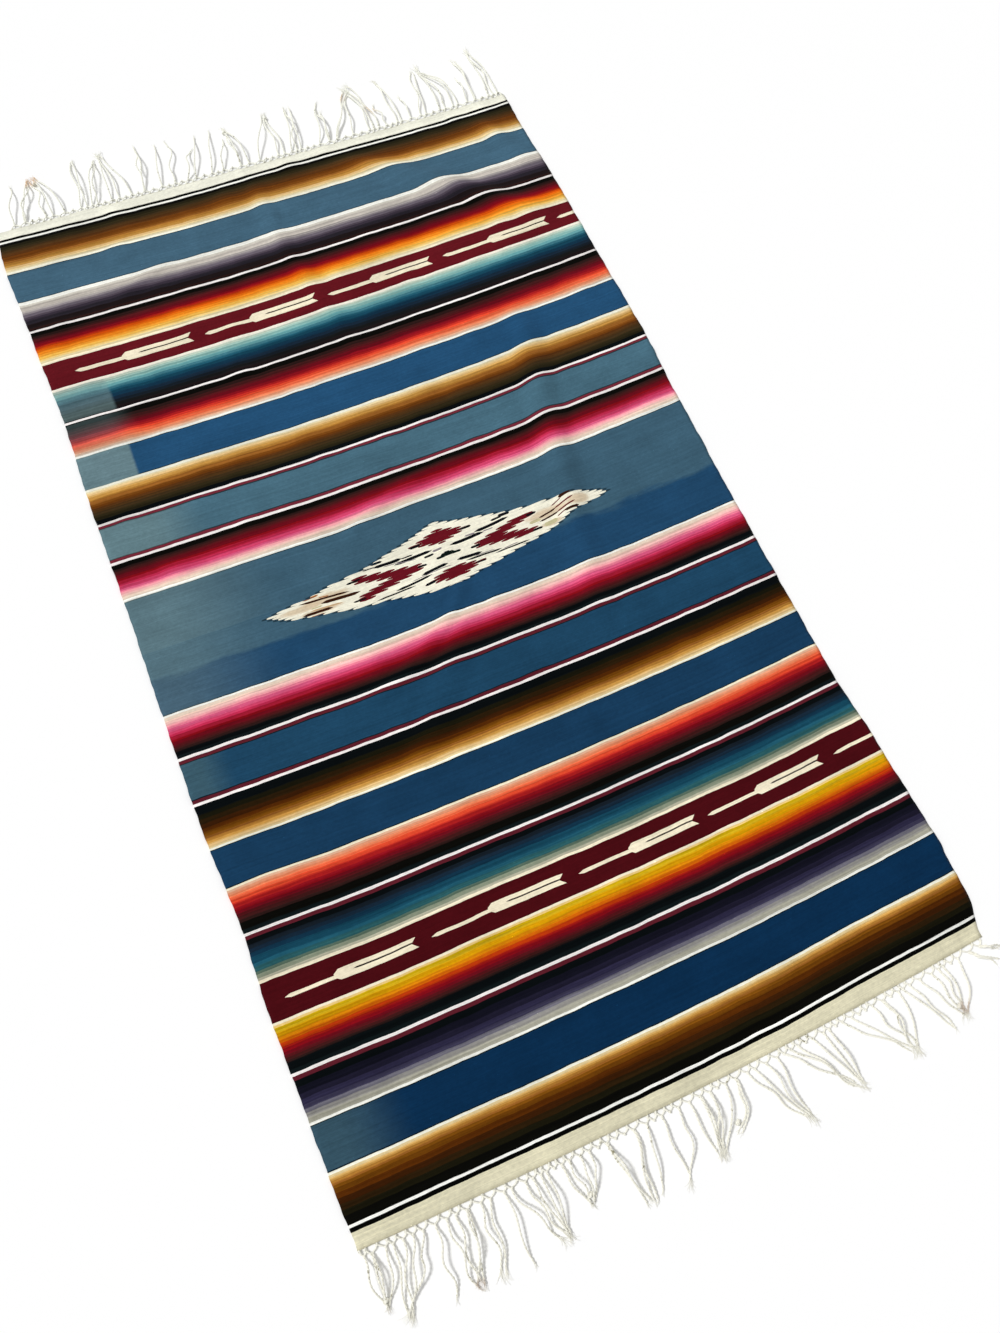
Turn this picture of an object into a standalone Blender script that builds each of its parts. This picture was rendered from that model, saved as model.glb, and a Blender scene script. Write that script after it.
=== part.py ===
# A striped serape lying flat: one woven web with low folds and, at each end, a row of
# knots tied from its warp ends with a fringe of twisted cords beyond it.
# Metres, +Z up. +X runs across the cloth, +Y along it, and it rests on z = 0.
import math
from collections import namedtuple

import bmesh
import bpy
import numpy as np
from mathutils import Vector

# Driving dimensions. "Along" is measured from the middle of the centre field.
WEB_FAR_END = 0.709
WEB_NEAR_END = -0.721
WEB_HALF_WIDTH = 0.404
WEB_WALL = 0.0020
HEADER = 0.024                   # the stiff band at each end of the web, which no fold crosses
KNOT_ROW_DEPTH = 0.0095
KNOT_ROW_WALL = 0.0030
FRINGE_WALL = 0.0030
SEAM_GAP = 0.0003

WEB_CELL = 0.0135                # cell of the web's grid, fine enough for the folds
STRIP_CELL = 0.020               # cell of the knot rows' and the fringes' grids
SAME_PLANE = math.radians(0.6)   # cells that lie this flat to each other become one face
CREST_STEPS = 80                 # points worked out along each fold's crest

# How far each side of the web bows out beyond its half width, by distance along.
Side = namedtuple("Side", "along left right")
SIDES = (
    Side(0.710, -0.001, -0.003),
    Side(0.640, 0.004, -0.003),
    Side(0.500, 0.001, 0.001),
    Side(0.370, -0.002, 0.001),
    Side(0.220, 0.002, 0.002),
    Side(0.080, 0.002, -0.004),
    Side(-0.080, 0.004, -0.008),
    Side(-0.220, 0.005, -0.010),
    Side(-0.370, 0.000, -0.011),
    Side(-0.450, 0.003, -0.005),
    Side(-0.600, 0.001, 0.000),
    Side(-0.670, 0.000, -0.002),
    Side(-0.722, -0.002, -0.014),
)

# How far the weft rows drift towards the far end at the web's two sides.
Drift = namedtuple("Drift", "along left right")
DRIFTS = (
    Drift(0.710, 0.003, 0.006),
    Drift(0.540, 0.003, 0.009),
    Drift(0.380, 0.001, 0.016),
    Drift(0.200, 0.005, 0.017),
    Drift(0.060, 0.003, 0.014),
    Drift(-0.100, 0.006, 0.010),
    Drift(-0.260, 0.006, 0.009),
    Drift(-0.420, 0.005, 0.011),
    Drift(-0.580, 0.008, 0.010),
    Drift(-0.722, 0.008, 0.010),
)

# The largest folds. Each crest is a bent line whose start, middle and end are given as
# (across, along, height above the floor); foot is half the width of the fold at its foot.
Fold = namedtuple("Fold", "name start middle end foot")
FOLDS = (
    Fold("far diagonal", (0.105, 0.682, 0.002), (0.235, 0.578, 0.009), (0.352, 0.462, 0.003), 0.034),
    Fold("far corner", (0.338, 0.680, 0.002), (0.358, 0.630, 0.005), (0.384, 0.570, 0.002), 0.026),
    Fold("right lengthwise", (0.246, 0.300, 0.004), (0.206, 0.110, 0.009), (0.158, -0.150, 0.003), 0.034),
    Fold("centre far", (-0.026, 0.686, 0.003), (-0.026, 0.560, 0.003), (0.006, 0.340, 0.002), 0.022),
    Fold("centre near", (-0.010, -0.090, 0.002), (-0.060, -0.160, 0.004), (-0.150, -0.270, 0.003), 0.030),
    Fold("near left", (-0.385, -0.290, 0.004), (-0.320, -0.330, 0.004), (-0.215, -0.350, 0.001), 0.026),
    Fold("near middle", (-0.110, -0.482, 0.001), (-0.020, -0.500, 0.004), (0.075, -0.545, 0.002), 0.026),
)

# Reach of the fringe beyond its knots at the two ends, by distance across.
Reach = namedtuple("Reach", "across far near")
REACHES = (
    Reach(-0.404, 0.068, 0.066),
    Reach(-0.330, 0.077, 0.074),
    Reach(-0.230, 0.083, 0.078),
    Reach(-0.110, 0.076, 0.074),
    Reach(0.030, 0.088, 0.070),
    Reach(0.120, 0.082, 0.074),
    Reach(0.210, 0.090, 0.068),
    Reach(0.310, 0.088, 0.070),
    Reach(0.404, 0.092, 0.064),
)

Finish = namedtuple("Finish", "colour roughness")
BLUE_WOOL = Finish((0.060, 0.140, 0.220), 0.92)
CREAM_WARP = Finish((0.780, 0.740, 0.600), 0.90)
CREAM_CORD = Finish((0.820, 0.790, 0.680), 0.90)


def clear_scene():
    for thing in list(bpy.data.objects):
        bpy.data.objects.remove(thing)


def eased(rows, key, value, at):
    """A table's column read at a place between its rows, eased from row to row."""
    rows = sorted(rows, key=lambda row: getattr(row, key))
    places = [getattr(row, key) for row in rows]
    at = max(places[0], min(places[-1], at))
    above = max(1, min(len(rows) - 1, int(np.searchsorted(places, at))))
    low, high = rows[above - 1], rows[above]
    share = (at - places[above - 1]) / (places[above] - places[above - 1])
    share = share * share * (3 - 2 * share)
    return getattr(low, value) * (1 - share) + getattr(high, value) * share


def crest_of(fold):
    """Points (across, along, height) along the curve through a fold's start, middle and end."""
    share = np.linspace(0, 1, CREST_STEPS + 1)[:, None]
    return (
        np.array(fold.start) * (1 - share) * (1 - 2 * share)
        + np.array(fold.middle) * 4 * share * (1 - share)
        + np.array(fold.end) * share * (2 * share - 1)
    )


CRESTS = [(fold, crest_of(fold)) for fold in FOLDS]


def lift(across, along):
    """Height of the web's underside: the highest fold over the point, and none over the headers."""
    highest = 0.0
    for fold, crest in CRESTS:
        away = np.hypot(crest[:, 0] - across, crest[:, 1] - along)
        nearest = int(away.argmin())
        if away[nearest] < fold.foot:
            slope = math.cos(0.5 * math.pi * away[nearest] / fold.foot) ** 2
            highest = max(highest, crest[nearest, 2] * slope)
    to_end = min(WEB_FAR_END - along, along - WEB_NEAR_END)
    return highest * max(0.0, min(1.0, to_end / HEADER - 1))


def laid(across, along, height=0.0):
    """Where a point of the loom's straight web lies once the serape is laid out."""
    share = across / WEB_HALF_WIDTH
    side = "left" if share < 0 else "right"
    bow = eased(SIDES, "along", side, along) * share
    drift = eased(DRIFTS, "along", side, along) * share * share
    return Vector((across + bow, along + drift, height))


def material_for(name, finish):
    material = bpy.data.materials.new(name)
    material.use_nodes = True
    material.diffuse_color = (*finish.colour, 1.0)
    shader = material.node_tree.nodes["Principled BSDF"]
    shader.inputs["Base Color"].default_value = (*finish.colour, 1.0)
    shader.inputs["Roughness"].default_value = finish.roughness
    shader.inputs["Metallic"].default_value = 0.0
    return material


def make_sheet(name, finish, wall, columns, rows, place):
    """A grid whose corners go to place(share across, share along), thickened upwards to a wall."""
    body = bmesh.new()
    bmesh.ops.create_grid(body, x_segments=columns, y_segments=rows, size=0.5)
    for corner in body.verts:
        corner.co = place(corner.co.x + 0.5, corner.co.y + 0.5)
    body.normal_update()
    if sum(face.normal.z for face in body.faces) < 0:
        bmesh.ops.reverse_faces(body, faces=body.faces)
    inner = [corner for corner in body.verts if not corner.is_boundary]
    bmesh.ops.dissolve_limit(body, angle_limit=SAME_PLANE, verts=inner, edges=body.edges)
    mesh = bpy.data.meshes.new(name)
    body.to_mesh(mesh)
    body.free()
    mesh.materials.append(material_for(name, finish))
    sheet = bpy.data.objects.new(name, mesh)
    thicken = sheet.modifiers.new("wall", "SOLIDIFY")
    thicken.thickness = wall
    thicken.offset = 1.0
    return sheet


def make_web():
    length = WEB_FAR_END - WEB_NEAR_END

    def place(share_across, share_along):
        across = WEB_HALF_WIDTH * (2 * share_across - 1)
        along = WEB_NEAR_END + length * share_along
        return laid(across, along, lift(across, along))

    columns = round(2 * WEB_HALF_WIDTH / WEB_CELL)
    return make_sheet("web", BLUE_WOOL, WEB_WALL, columns, round(length / WEB_CELL), place)


def make_end_strip(name, finish, wall, end, start, depth):
    """A flat strip that follows one end of the web, from start to start + depth(across) beyond it."""
    edge, outward = (WEB_FAR_END, 1) if end == "far" else (WEB_NEAR_END, -1)

    def place(share_across, share_out):
        across = WEB_HALF_WIDTH * (2 * share_across - 1)
        beyond = start + depth(across) * share_out
        return laid(across, edge) + Vector((0, outward * beyond, 0))

    columns = round(2 * WEB_HALF_WIDTH / STRIP_CELL)
    return make_sheet(f"{name}_{end}", finish, wall, columns, 1, place)


def make_knot_row(end):
    return make_end_strip(
        "knot_row", CREAM_WARP, KNOT_ROW_WALL, end, SEAM_GAP, lambda across: KNOT_ROW_DEPTH)


def make_fringe(end):
    start = SEAM_GAP + KNOT_ROW_DEPTH + SEAM_GAP
    return make_end_strip(
        "fringe", CREAM_CORD, FRINGE_WALL, end, start, lambda across: eased(REACHES, "across", end, across))


def centre_on_origin(sheets):
    """Shifts every sheet alike, so that the middle of the whole serape is over the origin."""
    corners = [corner.co for sheet in sheets for corner in sheet.data.vertices]
    middle = Vector([(min(c[i] for c in corners) + max(c[i] for c in corners)) / 2 for i in (0, 1)] + [0])
    for sheet in sheets:
        for corner in sheet.data.vertices:
            corner.co -= middle
    print("middle of the centre field at", [round(-value, 5) for value in middle])


clear_scene()
serape = bpy.data.collections.new("serape")
bpy.context.scene.collection.children.link(serape)
parts = [make_web()]
for end in ("far", "near"):
    parts += [make_knot_row(end), make_fringe(end)]
centre_on_origin(parts)
for part in parts:
    serape.objects.link(part)
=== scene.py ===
# Finishes a striped wool serape that lies flat on the floor: the weft-faced web charted in
# bands of yarn, the rows of knotted warp ends and the twisted fringes.
import math
import random

import bmesh
import bpy
import numpy as np
from mathutils import Matrix, Vector


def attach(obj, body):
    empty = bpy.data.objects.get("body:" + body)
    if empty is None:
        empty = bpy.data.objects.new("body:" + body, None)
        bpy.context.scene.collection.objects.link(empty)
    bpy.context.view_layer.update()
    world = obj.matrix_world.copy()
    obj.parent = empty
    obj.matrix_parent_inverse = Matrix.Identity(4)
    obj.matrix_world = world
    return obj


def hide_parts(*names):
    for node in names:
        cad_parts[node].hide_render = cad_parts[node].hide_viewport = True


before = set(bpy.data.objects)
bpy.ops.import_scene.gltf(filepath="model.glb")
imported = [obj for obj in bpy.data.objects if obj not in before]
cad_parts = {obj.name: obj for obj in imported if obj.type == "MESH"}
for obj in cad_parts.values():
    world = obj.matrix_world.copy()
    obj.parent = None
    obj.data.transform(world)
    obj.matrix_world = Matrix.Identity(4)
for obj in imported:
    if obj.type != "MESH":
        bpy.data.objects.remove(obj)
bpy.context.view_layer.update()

loomMiddle = Vector((0.0015, -0.00523, 0.0))   # where the middle of the centre field lies


def dye(code, depth=0.96):
    # a yarn's shade card code as the linear colour that the cloth reflects
    parts = [int(code[i:i + 2], 16) / 255 for i in (0, 2, 4)]
    linear = [p / 12.92 if p <= 0.04045 else ((p + 0.055) / 1.055) ** 2.4 for p in parts]
    return tuple(depth * p for p in linear) + (1.0,)


def addNode(tree, kind, **settings):
    made = tree.nodes.new(kind)
    for key, value in settings.items():
        setattr(made, key, value)
    return made


def isSocket(value):
    return isinstance(value, bpy.types.NodeSocket)


def addBeside(values, kind, **settings):
    # a new node in the tree that the first socket among the values belongs to
    return addNode(next(value.id_data for value in values if isSocket(value)), kind, **settings)


def feed(socket, value):
    # a link from another socket, or a plain value
    if isSocket(value):
        socket.id_data.links.new(value, socket)
    else:
        socket.default_value = value


def setInputs(made, values):
    for label, value in values.items():
        feed(made.inputs[label], value)


def calc(operation, *values):
    made = addBeside(values, "ShaderNodeMath", operation=operation)
    for socket, value in zip(made.inputs, values):
        feed(socket, value)
    return made.outputs[0]


def times(*values):
    product = values[0]
    for value in values[1:]:
        product = calc("MULTIPLY", product, value)
    return product


def plus(a, b):
    return calc("ADD", a, b)


def minus(a, b):
    return calc("SUBTRACT", a, b)


def over(a, b):
    return calc("DIVIDE", a, b)


def timesPlus(a, factor, more):
    return calc("MULTIPLY_ADD", a, factor, more)


def isBelow(a, limit):
    return calc("LESS_THAN", a, limit)


def isAbove(a, limit):
    return calc("GREATER_THAN", a, limit)


def gap(a, b):
    return calc("ABSOLUTE", minus(a, b))


def mixColours(factor, under, top):
    made = addBeside([factor], "ShaderNodeMix", data_type="RGBA")
    for i, value in ((0, factor), (6, under), (7, top)):
        feed(made.inputs[i], value)
    return made.outputs[2]


def scaleColour(colour, tone):
    made = addBeside([colour], "ShaderNodeVectorMath", operation="SCALE")
    feed(made.inputs[0], colour)
    feed(made.inputs["Scale"], tone)
    return made.outputs[0]


def stepUp(value, low, high):
    # 0 below low, 1 above high, smooth between them
    made = addBeside([value], "ShaderNodeMapRange", interpolation_type="SMOOTHSTEP")
    setInputs(made, {"Value": value, "From Min": low, "From Max": high})
    return made.outputs[0]


def inMillimetres(place, axes="XYZ"):
    split = addBeside([place], "ShaderNodeSeparateXYZ")
    feed(split.inputs[0], place)
    return [times(split.outputs[axis], 1000.0) for axis in axes]


def streaks(across, along, detail=2.0, roughness=0.5, seed=0.0):
    # noise whose cell is one unit of each coordinate given
    place = addBeside([across], "ShaderNodeCombineXYZ")
    setInputs(place, {"X": across, "Y": along, "Z": seed})
    noise = addBeside([across], "ShaderNodeTexNoise", noise_dimensions="3D")
    setInputs(noise, {"Vector": place.outputs[0], "Scale": 1.0, "Detail": detail, "Roughness": roughness})
    return noise.outputs["Fac"]


def newGroup(name, inputs, outputs):
    # a group whose inputs are numbers, or colours given as four numbers
    tree = bpy.data.node_groups.new(name, "ShaderNodeTree")
    for label, value in inputs.items():
        kind = "NodeSocketColor" if isinstance(value, tuple) else "NodeSocketFloat"
        made = tree.interface.new_socket(name=label, in_out="INPUT", socket_type=kind)
        made.default_value = value
    for label in outputs:
        kind = "NodeSocketColor" if label.endswith("Colour") else "NodeSocketFloat"
        tree.interface.new_socket(name=label, in_out="OUTPUT", socket_type=kind)
    return tree, tree.nodes.new("NodeGroupInput").outputs, tree.nodes.new("NodeGroupOutput").inputs


def useGroup(group, values):
    made = addBeside(values.values(), "ShaderNodeGroup", node_tree=group)
    setInputs(made, values)
    return made.outputs


def newMaterial(name):
    made = bpy.data.materials.new(name)
    made.use_nodes = True
    return made, made.node_tree.nodes["Principled BSDF"]


def addBump(shader, height, distance):
    bump = addBeside([height], "ShaderNodeBump")
    setInputs(bump, {"Strength": 1.0, "Distance": distance, "Height": height})
    feed(shader.inputs["Normal"], bump.outputs[0])


def link(thing):
    bpy.context.scene.collection.objects.link(thing)


# The camera stands at the left near corner and looks down on the middle of the cloth.
view = {
    "place": (-0.27183, -0.58301, 1.25152),
    "right": (0.91164, -0.40529, 0.06816),
    "up": (0.35740, 0.86368, 0.35541),
    "lens": 28.573,
    "film": 36.0,
}


def setCamera():
    camera = bpy.data.objects.new("camera", bpy.data.cameras.new("camera"))
    camera.data.lens = view["lens"]
    camera.data.sensor_fit = "VERTICAL"
    camera.data.sensor_width = view["film"]
    camera.data.sensor_height = view["film"]
    camera.data.clip_start = 0.01
    right, up = Vector(view["right"]).normalized(), Vector(view["up"]).normalized()
    turn = Matrix((right, up, right.cross(up))).transposed().to_4x4()
    camera.matrix_world = Matrix.Translation(view["place"]) @ turn
    link(camera)
    bpy.context.scene.camera = camera


studio = {
    "sky": 0.48,           # even light from all round
    "sun": 2.08,           # a wide soft light overhead, a little to the left
    "sunFrom": (-0.62, 0.28, 1.0),
    "sunAngle": 13.0,
    "floor": "fcfcfc",
    "floorHalf": 6.0,
}


def setStudio():
    world = bpy.data.worlds.new("studio")
    world.use_nodes = True
    tree = world.node_tree
    sky = tree.nodes["Background"]
    backdrop = addNode(tree, "ShaderNodeBackground")   # what is seen past the floor, as white as the floor
    for lit, strength in ((sky, studio["sky"]), (backdrop, 1.0)):
        setInputs(lit, {"Color": (1, 1, 1, 1), "Strength": strength})
    seen = addNode(tree, "ShaderNodeLightPath")
    either = addNode(tree, "ShaderNodeMixShader")
    sources = seen.outputs["Is Camera Ray"], sky.outputs[0], backdrop.outputs[0]
    for socket, source in zip(either.inputs, sources):
        feed(socket, source)
    feed(tree.nodes["World Output"].inputs["Surface"], either.outputs[0])
    bpy.context.scene.world = world
    bpy.context.scene.view_settings.view_transform = "Standard"
    sun = bpy.data.lights.new("overheadLight", "SUN")
    sun.energy = studio["sun"]
    sun.angle = math.radians(studio["sunAngle"])
    sunObject = bpy.data.objects.new("overheadLight", sun)
    sunObject.rotation_euler = Vector(studio["sunFrom"]).to_track_quat("Z", "Y").to_euler()
    link(sunObject)

    body = bmesh.new()
    bmesh.ops.create_grid(body, x_segments=1, y_segments=1, size=studio["floorHalf"])
    mesh = bpy.data.meshes.new("floor")
    body.to_mesh(mesh)
    body.free()
    material, shader = newMaterial("floorPaint")
    setInputs(shader, {"Base Color": dye(studio["floor"], 1.0), "Roughness": 0.9, "Specular IOR Level": 0.1})
    mesh.materials.append(material)
    floor = bpy.data.objects.new("floor", mesh)
    floor.location.z = -0.0005
    link(floor)


# How the straight web of the loom lies once it is laid out, in metres. "along" runs from the
# middle of the centre field to the far end, "across" from the middle to the right.
lay = {
    "halfWidth": 0.404,
    "farEnd": 0.709,
    "nearEnd": -0.721,
    "header": 0.024,
    # how far the two sides bow out: along, left, right
    "bow": [
        (0.710, -0.001, -0.003), (0.640, 0.004, -0.003), (0.500, 0.001, 0.001), (0.370, -0.002, 0.001),
        (0.220, 0.002, 0.002), (0.080, 0.002, -0.004), (-0.080, 0.004, -0.008), (-0.220, 0.005, -0.010),
        (-0.370, 0.000, -0.011), (-0.450, 0.003, -0.005), (-0.600, 0.001, 0.000), (-0.670, 0.000, -0.002),
        (-0.722, -0.002, -0.014),
    ],
    # how far the weft rows drift to the far end at the two sides: along, left, right
    "drift": [
        (0.710, 0.003, 0.006), (0.540, 0.003, 0.009), (0.380, 0.001, 0.016), (0.200, 0.005, 0.017),
        (0.060, 0.003, 0.014), (-0.100, 0.006, 0.010), (-0.260, 0.006, 0.009), (-0.420, 0.005, 0.011),
        (-0.580, 0.008, 0.010), (-0.722, 0.008, 0.010),
    ],
    # start, middle and end of each crest as (across, along, height), and half the fold's width
    "folds": {
        "far diagonal": ((0.105, 0.682, 0.002), (0.235, 0.578, 0.009), (0.352, 0.462, 0.003), 0.034),
        "far corner": ((0.338, 0.680, 0.002), (0.358, 0.630, 0.005), (0.384, 0.570, 0.002), 0.026),
        "right lengthwise": ((0.246, 0.300, 0.004), (0.206, 0.110, 0.009), (0.158, -0.150, 0.003), 0.034),
        "centre far": ((-0.026, 0.686, 0.003), (-0.026, 0.560, 0.003), (0.006, 0.340, 0.002), 0.022),
        "centre near": ((-0.010, -0.090, 0.002), (-0.060, -0.160, 0.004), (-0.150, -0.270, 0.003), 0.030),
        "near left": ((-0.385, -0.290, 0.004), (-0.320, -0.330, 0.004), (-0.215, -0.350, 0.001), 0.026),
        "near middle": ((-0.110, -0.482, 0.001), (-0.020, -0.500, 0.004), (0.075, -0.545, 0.002), 0.026),
        "centre far stroke": ((-0.027, 0.640, 0.001), (-0.022, 0.610, 0.004), (-0.026, 0.575, 0.001), 0.011),
        "field left": ((0.000, -0.048, 0.002), (-0.062, -0.112, 0.006), (-0.172, -0.162, 0.002), 0.016),
        "band bump": ((-0.150, -0.262, 0.001), (-0.116, -0.260, 0.004), (-0.080, -0.266, 0.001), 0.014),
        "near short": ((-0.262, -0.272, 0.001), (-0.190, -0.284, 0.003), (-0.112, -0.290, 0.001), 0.013),
        "near end": ((0.080, -0.672, 0.001), (0.122, -0.654, 0.003), (0.162, -0.640, 0.001), 0.012),
        "field wrinkle": ((-0.062, 0.168, 0.0006), (-0.040, 0.155, 0.0036), (-0.020, 0.140, 0.0006), 0.011),
        "field curve": ((-0.112, 0.062, 0.0012), (-0.012, 0.112, 0.0036), (0.122, 0.116, 0.0012), 0.015),
        "far left": ((-0.190, 0.582, 0.0008), (-0.236, 0.556, 0.0024), (-0.284, 0.526, 0.0008), 0.016),
    },
}


def easedAt(rows, column, at):
    # a column of a table read between its rows, eased from row to row
    rows = sorted(rows)
    places = np.array([row[0] for row in rows])
    values = np.array([row[column] for row in rows])
    at = np.clip(at, places[0], places[-1])
    above = np.clip(np.searchsorted(places, at), 1, len(rows) - 1)
    share = (at - places[above - 1]) / (places[above] - places[above - 1])
    share = share * share * (3 - 2 * share)
    return values[above - 1] * (1 - share) + values[above] * share


def crestPoints(start, mid, end):
    share = np.linspace(0, 1, 81)[:, None]
    return (np.array(start) * (1 - share) * (1 - 2 * share)
            + np.array(mid) * 4 * share * (1 - share)
            + np.array(end) * share * (2 * share - 1))


def foldHeight(across, along, folds):
    # the height of the highest fold over each point, and none over the headers
    highest = np.zeros_like(across)
    for start, mid, end, foot in folds.values():
        crest = crestPoints(start, mid, end)
        away = np.hypot(across[:, None] - crest[None, :, 0], along[:, None] - crest[None, :, 1])
        nearest = away.argmin(1)
        near = np.clip(away.min(1) / foot, 0, 1)
        highest = np.maximum(highest, crest[nearest, 2] * np.cos(0.5 * math.pi * near) ** 2)
    toEnd = np.minimum(lay["farEnd"] - along, along - lay["nearEnd"])
    return highest * np.clip(toEnd / lay["header"] - 1, 0, 1)


def laidOut(across, along):
    # across and along on the loom to x and y on the floor
    share = across / lay["halfWidth"]
    left = share < 0
    bow = np.where(left, easedAt(lay["bow"], 1, along), easedAt(lay["bow"], 2, along))
    drift = np.where(left, easedAt(lay["drift"], 1, along), easedAt(lay["drift"], 2, along))
    return (across + bow * share + loomMiddle.x,
            along + drift * share * share + loomMiddle.y)


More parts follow.
